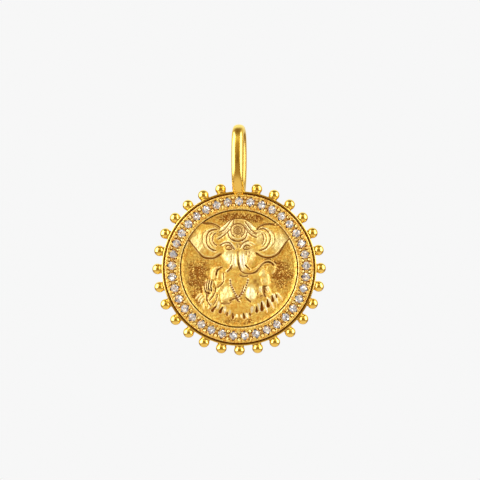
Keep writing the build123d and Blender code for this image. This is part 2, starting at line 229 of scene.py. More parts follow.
def make_panel(name, near_azimuth, far_azimuth):
    """Upright softbox between two directions in plan, counted in degrees from straight ahead."""
    ends = [
        Vector((PANEL_REACH * math.sin(turn), -PANEL_REACH * math.cos(turn), 0))
        for turn in (math.radians(near_azimuth), math.radians(far_azimuth))
    ]
    along = ends[1] - ends[0]
    middle = (ends[0] + ends[1]) / 2
    facing = Vector((along.y, -along.x, 0))
    if facing.dot(middle) > 0:
        facing.negate()
    low, high = PANEL_HEIGHTS
    data = bpy.data.lights.new(name, "AREA")
    data.shape = "RECTANGLE"
    data.size = along.length
    data.size_y = high - low
    data.energy = PANEL_RADIANCE * math.pi * data.size * data.size_y
    light = bpy.data.objects.new(name, data)
    light.location = middle + Vector((0, 0, (low + high) / 2 - disc_centre_drop * MM))
    light.rotation_euler = facing.to_track_quat("-Z", "Y").to_euler()
    light.visible_camera = False
    bpy.context.scene.collection.objects.link(light)


def seen_or_lit(tree, lit):
    """One plain tone to the camera, and another to the light that reaches the object."""
    path = add_node(tree, "LightPath")
    return blend_colour(tree, path.outputs["Is Camera Ray"], lit, SEEN_TONE)


def make_world():
    """Warm room that is brown overhead and ahead, and pale behind and above the pendant."""
    world = bpy.data.worlds.new("studio")
    bpy.context.scene.world = world
    world.use_nodes = True
    tree = world.node_tree
    tree.nodes.clear()
    direction = add_node(tree, "TexCoord").outputs["Generated"]
    tone = ROOM_TONE
    for middle, start, full, part_tone in ROOM_PARTS:
        along = add_node(tree, "VectorMath", {0: direction, 1: middle}, operation="DOT_PRODUCT")
        share = ranged(tree, along.outputs["Value"], start, full, interpolation_type="SMOOTHSTEP")
        tone = blend_colour(tree, share, tone, part_tone)
    background = add_node(tree, "Background", {"Color": seen_or_lit(tree, tone)})
    add_node(tree, "OutputWorld", {0: background.outputs[0]})


def make_floor():
    """Pale floor below the pendant. The metal mirrors it as lit near the pendant and dim beyond."""
    mesh = bpy.data.meshes.new("floor")
    corners = [
        (x * FLOOR_HALF_SIDE, y * FLOOR_HALF_SIDE, -FLOOR_DROP)
        for x, y in ((-1, -1), (1, -1), (1, 1), (-1, 1))
    ]
    mesh.from_pydata(corners, [], [(0, 1, 2, 3)])
    floor = bpy.data.objects.new("floor", mesh)
    material = bpy.data.materials.new("pale_floor")
    material.use_nodes = True
    tree = material.node_tree
    tree.nodes.clear()
    place = add_node(tree, "TexCoord").outputs["Object"]
    flat = vector_math(tree, "MULTIPLY", place, (1, 1, 0))
    away = add_node(tree, "VectorMath", {0: flat}, operation="LENGTH").outputs["Value"]
    lit = blend_colour(tree, ranged(tree, away, *FLOOR_TONE_ENDS), FLOOR_TONE, FAR_FLOOR_TONE)
    emission = add_node(tree, "Emission", {"Color": seen_or_lit(tree, lit)})
    add_node(tree, "OutputMaterial", {0: emission.outputs[0]})
    mesh.materials.append(material)
    bpy.context.scene.collection.objects.link(floor)


make_camera()
make_world()
make_floor()
make_panel("softbox_left", -38, -100)
make_panel("softbox_right", 49, 94)
bpy.context.scene.view_settings.view_transform = "Standard"
bpy.context.scene.view_settings.look = "None"


# Materials

GOLD = (0.99, 0.81, 0.245)
DEEP_GOLD = (0.93, 0.66, 0.155)
# Painted shade: the brown that marked recesses, lines and shaded places take
RECESS = (0.29, 0.090, 0.010)
# Painted highlight: pale gold where crests are marked, white where the mark passes 1
PALE_GOLD = (1.0, 0.94, 0.52)
WHITE_GOLD = (1.0, 0.99, 0.92)
MOTTLE_GOLD = (0.82, 0.40, 0.05)
RECESS_ROUGHNESS = 0.5
CLOUD_SCALE = 380.0
MOTTLE_SCALE = 3800.0
BRUSHED = (1, 0.05, 0.05)

# Painted reflections of a stone's facets: tones, each taking over from the last between two shares of the
# facets
STONE_DARK_REFLECTION = (0.07, 0.035, 0.015)
STONE_REFLECTION_TONES = (
    (0.10, 0.16, (0.62, 0.38, 0.14)),
    (0.22, 0.30, (0.42, 0.50, 0.66)),
    (0.55, 0.66, (0.92, 0.96, 1.0)),
)
# Faint painted glow of the stones, though they are no lamps
STONE_GLOW = (0.62, 0.70, 0.95)
FACET_SCALE = 5200.0
FACET_SLANT = 0.75


def shader(name, inputs):
    """Material whose shader has some inputs set to plain values."""
    material = bpy.data.materials.new(name)
    material.use_nodes = True
    tree = material.node_tree
    bsdf = tree.nodes["Principled BSDF"]
    for key, value in inputs.items():
        bsdf.inputs[key].default_value = value
    return material, tree, bsdf


def gold(name, smooth, rough, grain_scale, strength, depth, stretch=(1, 1, 1), mottle=0.0):
    """Gold with recesses painted brown as shade and made dull, and crests painted pale, mostly as
    highlights, both marked by the pieces.
    """
    material, tree, bsdf = shader(name, {"Metallic": 1.0})
    hollow = add_node(tree, "Attribute", attribute_name="recess").outputs["Fac"]
    crest = add_node(tree, "Attribute", attribute_name="crest").outputs["Fac"]
    cloud = noise(tree, CLOUD_SCALE, stretch=stretch)
    tone = blend_colour(tree, ranged(tree, cloud, 0.35, 0.65, 0, 0.5), GOLD, DEEP_GOLD)
    if mottle:
        blotch = ranged(tree, noise(tree, MOTTLE_SCALE, 2.0), 0.44, 0.62, 0.0, mottle)
        tone = blend_colour(tree, blotch, tone, MOTTLE_GOLD)
    # Painted highlight towards pale and white gold where crests are marked, then painted shade in brown
    # where recesses are marked
    highlighted_tone = blend_colour(tree, crest, tone, PALE_GOLD)
    highlighted_tone = blend_colour(tree, ranged(tree, crest, 1.0, 2.0), highlighted_tone, WHITE_GOLD)
    tree.links.new(blend_colour(tree, hollow, highlighted_tone, RECESS), bsdf.inputs["Base Color"])
    fine = noise(tree, grain_scale, 4.0, stretch)
    clean = ranged(tree, fine, 0.3, 0.7, smooth, rough)
    dull = add_node(tree, "Mix", {"Factor": hollow, "A": clean, "B": RECESS_ROUGHNESS})
    tree.links.new(dull.outputs["Result"], bsdf.inputs["Roughness"])
    grain = add_node(tree, "Bump", {"Height": fine, "Strength": strength, "Distance": depth})
    tree.links.new(grain.outputs["Normal"], bsdf.inputs["Normal"])
    return material


def brilliant_material():
    """Clear cut stone whose many small facets mirror the room each at its own slant, and whose facets are
    also painted random tones from dark to white as reflections, with a faint painted glow.
    """
    material, tree, bsdf = shader("clear_stone", {
        "Metallic": 0.3, "Roughness": 0.08, "IOR": 2.0, "Transmission Weight": 0.15,
        "Emission Color": (*STONE_GLOW, 1), "Emission Strength": 0.13,
    })
    place = add_node(tree, "TexCoord").outputs["Object"]
    facets = add_node(tree, "TexVoronoi", {"Vector": place, "Scale": FACET_SCALE}).outputs["Color"]
    chance = add_node(tree, "SeparateColor", {"Color": facets}).outputs["Red"]
    # Painted reflections: each facet takes a tone by its random share
    tone = STONE_DARK_REFLECTION
    for start, end, colour in STONE_REFLECTION_TONES:
        tone = blend_colour(tree, ranged(tree, chance, start, end), tone, colour)
    tree.links.new(tone, bsdf.inputs["Base Color"])
    # A facet's three random shares become a slant either way along each axis
    slant = vector_math(tree, "MULTIPLY_ADD", facets, [2 * FACET_SLANT] * 3, [-FACET_SLANT] * 3)
    straight = add_node(tree, "NewGeometry").outputs["Normal"]
    facing = vector_math(tree, "NORMALIZE", vector_math(tree, "ADD", straight, slant))
    tree.links.new(facing, bsdf.inputs["Normal"])
    return material


polished_gold = gold("polished_gold", 0.10, 0.17, 2600.0, 0.05, 0.00002)
brushed_gold = gold("brushed_gold", 0.19, 0.27, 3000.0, 0.05, 0.00002, BRUSHED)
back_gold = gold("back_gold", 0.30, 0.42, 3000.0, 0.30, 0.00002, BRUSHED, mottle=0.1)
pave_gold = gold("pave_gold", 0.46, 0.58, 6500.0, 0.6, 0.00003, mottle=1.0)
satin_gold = gold("satin_gold", 0.50, 0.60, 7500.0, 0.9, 0.00003, mottle=0.65)
clear_stone = brilliant_material()


# Mesh building

def on_medallion(x, z, h):
    """Places on the medallion as places in the frame."""
    x, z, h = np.broadcast_arrays(x, z, h)
    return np.stack([x, band_height / 2 - h, z - disc_centre_drop], axis=-1)


def turned(radius, height, turn):
    """Places of a section's points carried round the disc's axis to a number of turns."""
    return on_medallion(np.outer(radius, np.sin(turn)), np.outer(radius, np.cos(turn)), height)


def full_circle(divisions):
    return np.linspace(0, 2 * math.pi, divisions, endpoint=False)


def sheet_faces(rows, columns, close_rows=False, close_columns=False):
    """Quads over a grid of points counted row by row."""
    i, j = np.meshgrid(
        np.arange(rows if close_rows else rows - 1),
        np.arange(columns if close_columns else columns - 1), indexing="ij",
    )
    i2, j2 = (i + 1) % rows, (j + 1) % columns
    quads = np.stack([i * columns + j, i * columns + j2, i2 * columns + j2, i2 * columns + j], axis=-1)
    return quads.reshape(-1, 4)


def closed_faces(rows, columns):
    """Faces of a grid closed round its columns, with a pole beyond its first and its last row."""
    here = np.arange(columns)
    following = (here + 1) % columns
    first, last = rows * columns, rows * columns + 1
    end = (rows - 1) * columns
    start_fan = [(first, b, a) for a, b in zip(here, following)]
    end_fan = [(last, end + a, end + b) for a, b in zip(here, following)]
    return [*sheet_faces(rows, columns, False, True), *start_fan, *end_fan]


def add_piece(name, points, faces, material, replaces, recess=None, crest=None, sharp=None):
    """Makes a closed mesh piece from points in mm, marks where its shade and highlights are painted, and
    puts it on.
    """
    mesh = bpy.data.meshes.new(name)
    faces = [tuple(int(k) for k in face) for face in faces]
    mesh.from_pydata((np.asarray(points).reshape(-1, 3) * MM).tolist(), [], faces)
    mesh.polygons.foreach_set("use_smooth", np.ones(len(mesh.polygons), dtype=bool))
    if sharp is not None:
        mesh.set_sharp_from_angle(angle=math.radians(sharp))
    for kind, values in (("recess", recess), ("crest", crest)):
        if values is not None:
            mark = mesh.attributes.new(kind, "FLOAT", "POINT")
            mark.data.foreach_set("value", np.asarray(values, dtype=np.float32).ravel())
    mesh.materials.append(material)
    mesh.update()
    piece = bpy.data.objects.new(name, mesh)
    bpy.context.scene.collection.objects.link(piece)
    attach(piece, "root")
    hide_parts(replaces)
    return piece


def smoothstep(value, low, high):
    t = np.clip((value - low) / (high - low), 0, 1)
    return t * t * (3 - 2 * t)


def bulge(share):
    """Parabola that is 1 at a share of 0 and falls to 0 at a share of 1 either way."""
    return np.clip(1 - share**2, 0, 1)


def arc(centre_radius, centre_height, radius, start, end, steps):
    """Points of a section's round corner, angles in degrees."""
    angles = np.radians(np.linspace(start, end, steps))
    return [(centre_radius + radius * math.cos(a), centre_height + radius * math.sin(a)) for a in angles]


# Cup

def make_cup():
    """Back plate, outer wall, lip, groove and the ledge and seam that carry ring and relief."""
    plate_rings = (3.0, 6.0)
    groove_end = ring_outer_radius - ledge_reach
    seam_wall = plate_radius + seam_play
    section = np.array(
        [(r, 0.0) for r in (*plate_rings, 8.4)]
        + arc(rim_radius - back_edge_round, back_edge_round, back_edge_round, -90, 0, 9)
        + [(rim_radius, h) for h in (0.6, 1.0, 1.4)]
        + arc(rim_radius - lip_round, lip_height - lip_round, lip_round, 0, 90, 8)
        + arc(lip_inner_radius + lip_inner_round, lip_height - lip_inner_round, lip_inner_round, 90, 180, 6)
        + [(lip_inner_radius, 1.58), (lip_inner_radius, groove_floor_height + 0.05)]
        + arc(lip_inner_radius - groove_round, groove_floor_height + groove_round, groove_round, 0, -90, 5)
        + [(ring_outer_radius + 0.04, groove_floor_height), (groove_end, groove_floor_height)]
        + [(groove_end, ledge_height), (ring_inner_radius, ledge_height)]
        + [(ring_inner_radius, seam_floor_height), (seam_wall, seam_floor_height)]
        + [(seam_wall, back_plate), *((r, back_plate) for r in plate_rings[::-1])]
    )
    divisions = 420
    radius, height = section.T
    around = turned(radius, height[:, None], full_circle(divisions))
    middles = on_medallion(0.0, 0.0, np.array([0.0, back_plate]))
    points = np.concatenate([around.reshape(-1, 3), middles])
    # Painted shade: the groove is darkest, except high on the lip's side, and the seam nearly so
    near = 0.01
    front = height > back_edge_round
    in_groove = front & (radius < lip_inner_radius + near) & (radius > groove_end - near)
    places = [
        in_groove & (height > groove_floor_height + 0.09),
        front & (radius < ring_inner_radius + near),
        in_groove & (height < lip_height - 0.1),
    ]
    recess = np.repeat(np.select(places, [0.45, 0.9, 1.0], 0.0), divisions)
    recess = np.concatenate([recess, [0.0, 0.9]])
    faces = [face[::-1] for face in closed_faces(len(section), divisions)]
    cup = add_piece("cup", points, faces, polished_gold, "ring_setting", recess, sharp=40)
    # The flat back has a brushed finish
    cup.data.materials.append(back_gold)
    for face in cup.data.polygons:
        face.material_index = int(face.normal.y > 0.999)


# Pave ring

def ball_height(away, radius):
    """Height of a ball over its middle plane at a distance from its middle."""
    return np.sqrt(bulge(away / radius)) * radius


def pave_height(radius, turn):
    """Height, painted shade (recess) and painted highlight (crest) of the ring's face at places given by
    radius and turn in stones.
    """
    to_stone = turn - np.round(turn)
    angle = to_stone * 2 * math.pi / stone_count
    across = radius * np.cos(angle) - stone_circle_radius
    along = radius * np.sin(angle)
    from_stone = np.hypot(across, along)
    in_channel = 1.0
    for edge, inwards in ((channel_inner_radius, channel_wall), (channel_outer_radius, -channel_wall)):
        in_channel = in_channel * smoothstep(radius, edge - inwards, edge + inwards)
    height = band_height - channel_depth * in_channel
    # Seat under the stone, and a low collar round it. The seat is painted dark brown as shade, and the
    # channel a little brown.
    in_seat = from_stone < seat_radius
    bowl = channel_floor_height - seat_drop - np.clip(seat_radius - from_stone, 0, None) * seat_slope
    collar = 1 - smoothstep(from_stone, seat_radius + 0.05, seat_radius + 0.13)
    collar = channel_floor_height + collar_rise * collar
    height = np.where(in_seat, np.minimum(height, bowl), np.maximum(height, collar))
    recess = np.where(in_seat, 0.85, 0.32 * in_channel)
    # Bridge between a stone and the next, with a painted highlight
    to_bridge = 0.5 - np.abs(to_stone)
    bridge = np.sqrt(bulge(to_bridge / bridge_half_share) * bulge(across / bridge_half_width))
    bridge = bridge * (from_stone > seat_radius)
    height = height + bridge_rise * bridge
    crest = 0.35 * bridge
    # Notches cut at the stone's outer and inner points, painted brown as shade
    for side in (-1, 1):
        deep = bulge(np.hypot(
            (across - side * notch_across) / notch_half_sizes[0], along / notch_half_sizes[1]
        ))
        height = height - notch_depth * np.sqrt(deep)
        recess = np.maximum(recess, smoothstep(deep, 0.0, 0.5))
    # Small grains that lap over the stone at its four corners, with a painted highlight and no painted
    # shade
    for side in (-1, 1):
        away = np.hypot(across - side * prong_across, np.abs(along) - prong_along)
        ball = ball_height(away, prong_radius)
        top = channel_floor_height - prong_sink + ball
        height = np.where(ball > 0, np.maximum(height, top), height)
        recess = np.where(ball > 0.03, 0.0, recess)
        crest = np.maximum(crest, 0.5 * smoothstep(ball, 0.04, 0.10))
    # Grains that two stones share, each with a painted highlight, in a moat painted brown as shade
    angle = to_bridge * 2 * math.pi / stone_count
    for side in (-1, 1):
        centre_radius = stone_circle_radius + side * (channel_width / 2 - grain_inset)
        away = np.hypot(radius * np.cos(angle) - centre_radius, radius * np.sin(angle))
        ball = ball_height(away, grain_radius)
        moat = bulge((away - grain_radius - moat_middle) / moat_half_width) * (np.abs(across) < moat_reach)
        top = channel_floor_height - grain_sink + ball
        height = np.where(ball > 0, np.maximum(height, top), height - moat_depth * moat)
        recess = np.where(ball > 0.05, 0.0, np.maximum(recess, moat))
        crest = np.maximum(crest, 0.5 * smoothstep(ball, 0.08, 0.16))
    # Rounded edges with a painted highlight, the inner one brighter
    for inwards, bright in ((radius - ring_inner_radius, 0.8), (ring_outer_radius - radius, 0.25)):
        to_edge = 1 - np.clip(inwards / band_round, 0, 1)
        height = height - band_round_depth * (1 - np.sqrt(1 - to_edge**2))
        crest = np.maximum(crest, bright * to_edge)
    return height, recess, crest


def make_pave_ring():
    """Ring with finely divided face and plain walls down into the seam and the groove."""
    steps_per_stone = 34
    divisions = stone_count * steps_per_stone
    turn = np.linspace(0, stone_count, divisions, endpoint=False)
    edge = np.array([0.0, 0.006, 0.02, 0.045])
    top = np.concatenate([
        ring_inner_radius + edge,
        np.linspace(ring_inner_radius + 0.09, ring_outer_radius - 0.09, 45),
        ring_outer_radius - edge[::-1],
    ])
    # Mean of nine samples in each cell, so that fine forms don't fall between the points
    radius, along = np.meshgrid(top, turn, indexing="ij")
    cell_width = 0.045
    thirds = (-0.33, 0, 0.33)
    height, recess, crest = np.mean([
        pave_height(
            np.clip(radius + a * cell_width, ring_inner_radius, ring_outer_radius),
            along + b / steps_per_stone,
        )
        for a in thirds for b in thirds
    ], axis=0)
    # Hand-cut unevenness
    rough = rng.normal(size=(2, *height.shape))
    for axis in (1, 2):
        rough = sum(np.roll(rough, step, axis=axis) for step in (-1, 0, 1))
    uneven_height, uneven_tone = rough / rough.std(axis=(1, 2), keepdims=True)
    height = height + 0.014 * uneven_height
    crest = np.clip(crest + 0.22 * uneven_tone - 0.06, 0, 1)
    recess = np.clip(recess - 0.20 * np.minimum(uneven_tone + 0.6, 0), 0, 1)

    def between_walls(inner, values, outer):
        inner, outer = (np.repeat(np.array(wall)[:, None], divisions, axis=1) for wall in (inner, outer))
        return np.concatenate([inner, values, outer])

    height = between_walls((1.15, 1.5, 1.8), height, (1.75, 1.5, 1.15))
    # The walls down into the seam and the groove are painted brown as shade, darkest low down
    recess = between_walls((1.0, 1.0, 0.6), recess, (0.6, 1.0, 1.0))
    crest = between_walls((0, 0, 0), crest, (0, 0, 0))
    radius = np.concatenate([[ring_inner_radius] * 3, top, [ring_outer_radius] * 3])
    points = turned(radius, height, turn * 2 * math.pi / stone_count)
    faces = sheet_faces(len(radius), divisions, True, True)
    add_piece("pave_ring", points, faces, pave_gold, "ring_setting", recess, crest, 75)


# Beads round the rim

def make_rim_beads():
    """Balls on short flared stems, one at each place but the top one."""
    middle = band_height / 2
    join = math.asin(stem_radius / bead_radius)
    ball = np.linspace(0.0, math.pi - join - 0.08, 24)[1:]
    tip = bead_circle_radius + bead_radius - inside_box
    foot = rim_radius - stem_sink
    section = np.array([
        *zip(bead_circle_radius + (bead_radius - inside_box) * np.cos(ball), bead_radius * np.sin(ball)),
        (bead_circle_radius - bead_radius * math.cos(join), stem_radius + 0.004),
        (rim_radius + 0.09, stem_radius + 0.008),
        (rim_radius + 0.04, (stem_radius + stem_foot_radius) / 2),
        (rim_radius + 0.005, stem_foot_radius),
        (foot, stem_foot_radius + 0.03),
    ])
    divisions = 32
    around = full_circle(divisions)
    reach = section[:, :1]
    side = np.outer(section[:, 1], np.cos(around))
    height = middle + np.outer(section[:, 1], np.sin(around))
    # The stem's foot is painted brown as shade where it meets the rim
    root = 0.7 * smoothstep(rim_radius + 0.26 - section[:, 0], 0.0, 0.18)
    marks = np.concatenate([np.repeat(root, divisions), [0.0, 0.7]])
    bead_faces = closed_faces(len(section), divisions)
    ends = np.array([tip, foot])
    points, faces = [], []
    for place in range(1, bead_places):
        turn = 2 * math.pi * place / bead_places + math.radians(bead_turn)
        sine, cosine = math.sin(turn), math.cos(turn)
        bead = on_medallion(reach * sine + side * cosine, reach * cosine - side * sine, height)
        poles = on_medallion(ends * sine, ends * cosine, middle)
        faces += [[k + len(points) * marks.size for k in face] for face in bead_faces]
        points.append(np.concatenate([bead.reshape(-1, 3), poles]))
    add_piece("rim_beads", np.concatenate(points), faces, polished_gold,
              "ring_setting", np.tile(marks, bead_places - 1), sharp=60)


# Bail

def squared(wave, squareness):
    """A circle's cosine or sine drawn out towards a square's."""
    return np.sign(wave) * np.abs(wave) ** (2 / squareness)


def evenly(route, count, endpoint=True):
    """A number of places at even steps along a route."""
    lengths = np.concatenate([[0], np.cumsum(np.hypot(*np.diff(route, axis=0).T))])
    steps = np.linspace(0, lengths[-1], count, endpoint=endpoint)
    return np.stack([np.interp(steps, lengths, values) for values in np.transpose(route)], axis=1)


def make_bail():
    """Closed oval loop of round wire, thickened a little where it is soldered to the rim."""
    half_depth = bail_depth / 2 - bail_wire_radius - inside_box
    half_height = bail_height / 2 - bail_wire_radius - inside_box
    turn = full_circle(6000)
    squareness = np.where(np.sin(turn) > 0, bail_squareness, bail_squareness_below)
    route = np.stack([
        half_depth * squared(np.cos(turn), squareness),
        half_height * squared(np.sin(turn), squareness),
    ], axis=1)
    route = evenly(np.vstack([route, route[:1]]), 300, endpoint=False)
    ahead = np.roll(route, -2, axis=0) - np.roll(route, 2, axis=0)
    ahead /= np.linalg.norm(ahead, axis=1)[:, None]
    divisions = 128
    around = full_circle(divisions)
    foot = np.exp(-((route[:, 1:] + half_height) / 0.5) ** 2)
    radius = bail_wire_radius * (1 + 0.05 * foot)
    out = radius * squared(np.cos(around), wire_squareness)
    side = radius * squared(np.sin(around), wire_squareness)
    y = route[:, :1] + ahead[:, 1:] * out
    z = route[:, 1:] - ahead[:, :1] * out + 2 * bail_wire_radius - bail_height / 2
    angle = math.radians(bail_turn)
    points = np.stack([
        side * math.cos(angle) - y * math.sin(angle),
        side * math.sin(angle) + y * math.cos(angle),
        z,
    ], axis=-1)
    faces = sheet_faces(len(route), divisions, True, True)[:, ::-1]
    # The wire's side towards the eye is painted a little brown as shade
    inner = 0.45 * smoothstep(-np.cos(around), -0.2, 0.5)
    add_piece("bail", points, faces, brushed_gold, "ring_setting",
              np.tile(inner, (len(route), 1)))


# Relief: tables of forms, all in hundredths. Places and widths are shares of the seam circle's
# radius, x to the right and z up from the disc's centre, and a route is its points' x, z, x, z.
# Heights are shares of relief_height above the dish floor.

# Forms: planes whose lowest makes the top (x, z, height there, tilt to x, tilt to z), crown on top
# (centre x, z, half sizes, rise), width of the rounded edge low and high on the form, outline
FORMS = {
    "left_ear": (
        ((-60, 46, 102, -9, 0), (-61.5, 46, 102, 23.5, -4), (-60, 58, 104, 0, -27),
         (-60, 34, 102, 2, 20)),
        (-58, 46, 42, 42, 6), (1.4, 1.4),
        (-15, 62, -30, 65.5, -35, 68.5, -40, 72, -48, 75.2, -58, 76.5, -69, 77.2, -80, 82, -103, 50,
         -94, 46, -86.5, 46.2, -80, 40, -70, 28.5, -65, 23.5, -60, 20, -50, 18, -42, 19, -33, 25, -15, 32),
    ),
    "right_ear": (
        ((57, 46, 102, 9, 0), (59, 46, 102, -23.5, -4), (57, 58, 104, 0, -27), (57, 34, 102, -2, 20)),
        (56, 46, 42, 42, 6), (1.4, 1.4),
        (12, 62, 28, 64, 33, 68.5, 38, 72.5, 45, 74.8, 52, 75.2, 60, 74.2, 69, 73.5, 80, 78, 103, 52,
         92, 48.5, 85, 49, 76, 39.5, 70, 31, 65, 25, 58, 21, 50, 19.5, 42, 20.5, 36, 23, 28, 28, 12, 34),
    ),
    "head": (
        ((0, 50, 110, 0, 0), (-10, 50, 110, 19, 0), (8, 50, 110, -19, 0), (0, 38, 102, 0, 16)),
        (-1, 55, 38, 40, 12), (15, 1.2),
        (-8, 85.5, 8, 85.5, 18, 80, 26, 73, 31, 68, 33, 55, 31, 30, 27, 16, 16, 2, -8, -3, -19, 6, -28, 18,
         -31, 30, -34, 50, -33.5, 68, -26, 75, -16, 83),
    ),
    "left_face": (
        ((-5, 15, 112, 22, -6), (-3, 15, 112, -30, 0)),
        (-17, 15, 20, 20, 16), (13, 8),
        (-30, 29, -20, 30, -10, 30, -3, 27, -2.5, 12, 0, 2, -9, -2, -19, 5.5, -27.5, 17, -31, 25),
    ),
    "right_face": (
        ((12, 20, 102, -28, -5),),
        (18, 22, 16, 20, 10), (10, 6),
        (9, 30, 20, 31, 30, 30, 27.5, 20, 21, 10, 14, 3, 10, 6),
    ),
    "torso": (
        ((0, -20, 36, 0, 0),),
        (0, -22, 40, 34, 22), (10, 10),
        (-30, 2, 30, -6, 44, -12, 40, -42, 32, -60, -36, -62, -40, -32, -44, -10),
    ),
    "seat": (
        ((0, -60, 26, 0, 0),),
        (0, -60, 60, 30, 10), (4, 4),
        (-52, -48, 58, -40, 56, -58, 40, -69, 20, -78, 0, -80, -20, -77, -42, -69, -54, -60),
    ),
    "lap": (
        ((0, -65, 52, 0, 4),),
        (0, -62, 34, 20, 12), (5, 3),
        (-29, -59.5, -15, -56.5, -5, -55, 6, -53, 14, -54, 22, -58, 28, -62, 24, -69, 12, -76, 0, -77.5,
         -14, -76.5, -26, -70, -31, -64),
    ),
    "left_knee": (
        ((-20, -42, 76, 24, -6), (-17, -42, 80, -20, -6)),
        (-21, -43, 16, 18, 12), (6, 11),
        (-32.5, -36, -25, -27, -15, -28, -10, -37, -9.5, -46, -13, -52, -18, -56, -29, -57.5, -34, -50,
         -34.5, -42),
    ),
    "right_knee": (
        ((20, -42, 76, -24, -6), (17, -42, 80, 20, -6)),
        (20, -43, 14, 18, 12), (6, 11),
        (15, -28, 25, -28, 30, -38, 29.5, -50, 24, -56, 17, -54.5, 10, -48, 9.5, -40, 11.5, -32),
    ),
    "left_upper_arm": (
        ((-42, -6, 60, 20, -6),),
        (-45, -8, 12, 20, 12), (2, 5),
        (-30, 3.5, -36, 5.5, -42, 3.5, -47, -1, -49.5, -8, -49, -18.5, -42, -19, -40, -10, -38, -3, -33, 0),
    ),
    "left_inner_arm": (
        ((-33, -10, 50, -8, -10),),
        (-33, -12, 10, 16, 12), (3, 4),
        (-37, -3, -31, 0, -27, -6, -27, -18, -34, -20, -39, -17),
    ),
    "left_forearm": (
        ((-35, -24, 56, 10, -8),),
        (-36, -22, 14, 12, 14), (3, 4),
        (-43, -19, -34, -19, -27, -19, -28, -25, -34, -30, -40, -32, -42, -27),
    ),
    "sweet": (
        ((54.5, -1, 36, -10, -4),),
        (54.5, -1, 12, 12, 8), (2.5, 3),
        (46, -2, 48, 4, 54, 7, 60, 5, 63, -1, 61, -7, 56, -11, 50, -10),
    ),
    "palm": (
        ((43, -7, 50, -12, -10), (40, -7, 54, 12, -5)),
        (42, -7, 13, 12, 14), (8, 8),
        (31, -9, 34, -2, 40, 3, 47, 2, 51.5, -6, 52, -15, 42, -19, 34, -16),
    ),
    "right_arm": (
        ((46, -22, 50, -8, -6),),
        (45, -22, 12, 16, 12), (6, 5),
        (35, -14, 50, -13, 53, -22, 52, -30, 42, -31.5, 36, -24),
    ),
}

# Ridges that stand as forms of their own: half width at the start and end, height at the start
# and end, route
RIDGES = {
    "trunk": (7, 4.8, 102, 86, 4.5, 30, 4.8, 16, 6.8, 5, 11, -1.5, 17, -3.2, 24, -2.5),
    "trunk_bend": (4.8, 2.2, 86, 70, 24, -2.5, 30, 0.5, 36, 6.5, 42, 11.5),
    "trunk_tip": (2.2, 1.8, 70, 52, 42, 11.5, 49, 14.2, 56, 12.2, 61, 7, 63, 1),
    "palm_edge": (2, 1.6, 52, 46, 27, -10, 33, -5.5, 38, 1.5, 43, 7, 49, 9, 55, 7.5),
    "left_tusk": (2, 1.4, 80, 52, -13, 7, -16.5, 0, -22.5, -5.5),
    "right_tusk": (2, 1.6, 98, 66, 11, 9, 15.5, 3.5, 20.5, 0, 25, -1),
    "finger_1": (1.7, 1.6, 36, 30, -54.5, -20, -57.5, -28, -56, -38),
    "finger_2": (1.8, 1.6, 42, 36, -51.5, -20, -54.5, -29, -53, -39),
    "finger_3": (1.9, 1.7, 44, 38, -47.8, -20, -50.5, -30, -49, -40),
    "finger_4": (1.9, 1.7, 44, 38, -44, -22, -46, -30, -45, -39),
    "left_cord": (2, 1.6, 28, 24, -60, -31, -60, -40, -58.5, -50, -56.5, -64),
    "left_drape_1": (4, 2.6, 42, 32, -44, -37, -46, -45, -52, -53),
    "left_drape_2": (3.6, 2.6, 42, 32, -40, -42, -42, -52, -48, -60),
    "left_drape_3": (3, 2.4, 44, 36, -35.5, -36, -34.5, -46, -35.5, -56),
    "right_hand_1": (3.6, 3, 54, 40, 36.5, -32, 36.2, -38, 36.5, -45),
    "right_hand_2": (3.4, 2.6, 54, 40, 47.5, -31, 50.5, -37, 54, -46),
    "right_hand_3": (2.4, 1.8, 42, 34, 43, -42, 47, -46, 50, -50),
    "left_knee_hem": (1.6, 1.4, 66, 58, -29, -57.2, -22, -57.6, -15, -56.5),
    "belly": (12, 10, 62, 50, -1, -20, 0, -34, 1, -46),
}

# Petals and leaves: half width, height, bend to one side, root x and z, tip x and z
PETALS = (
    (2.2, 30, 6, -65.5, -43, -74.5, -53),
    (2.2, 30, 6, -62.5, -46, -70, -57.5),
    (2.4, 30, 6, -60.5, -51, -66.5, -62),
    (2.4, 28, 0, -60, -60, -61, -71),
    (2, 34, 0, -47.5, -60, -53.5, -70),
    (2.6, 44, 0, -34.5, -57, -36.5, -69),
    (2.6, 42, 0, -23.5, -66, -24.5, -74.5),
    (3, 42, 0, -24, -69, -25, -77),
    (2.6, 40, 0, -15.5, -72, -16.5, -80),
    (2.6, 40, 0, -4, -79, -4, -85),
    (2.2, 40, 0, 3.5, -79, 4.5, -85),
    (2.6, 42, 0, 12.5, -77, 15, -86),
    (3.4, 46, 0, 22.5, -66, 21.5, -76),
    (2.2, 46, -5, 32.5, -60, 36, -74),
    (2.2, 46, -5, 40, -56, 49, -76),
    (2.2, 44, -5, 49, -50, 60, -70),
    (3, 42, -5, 58.5, -44, 66.5, -60),
    (2.2, 36, -5, 65.5, -42, 74.5, -55),
)
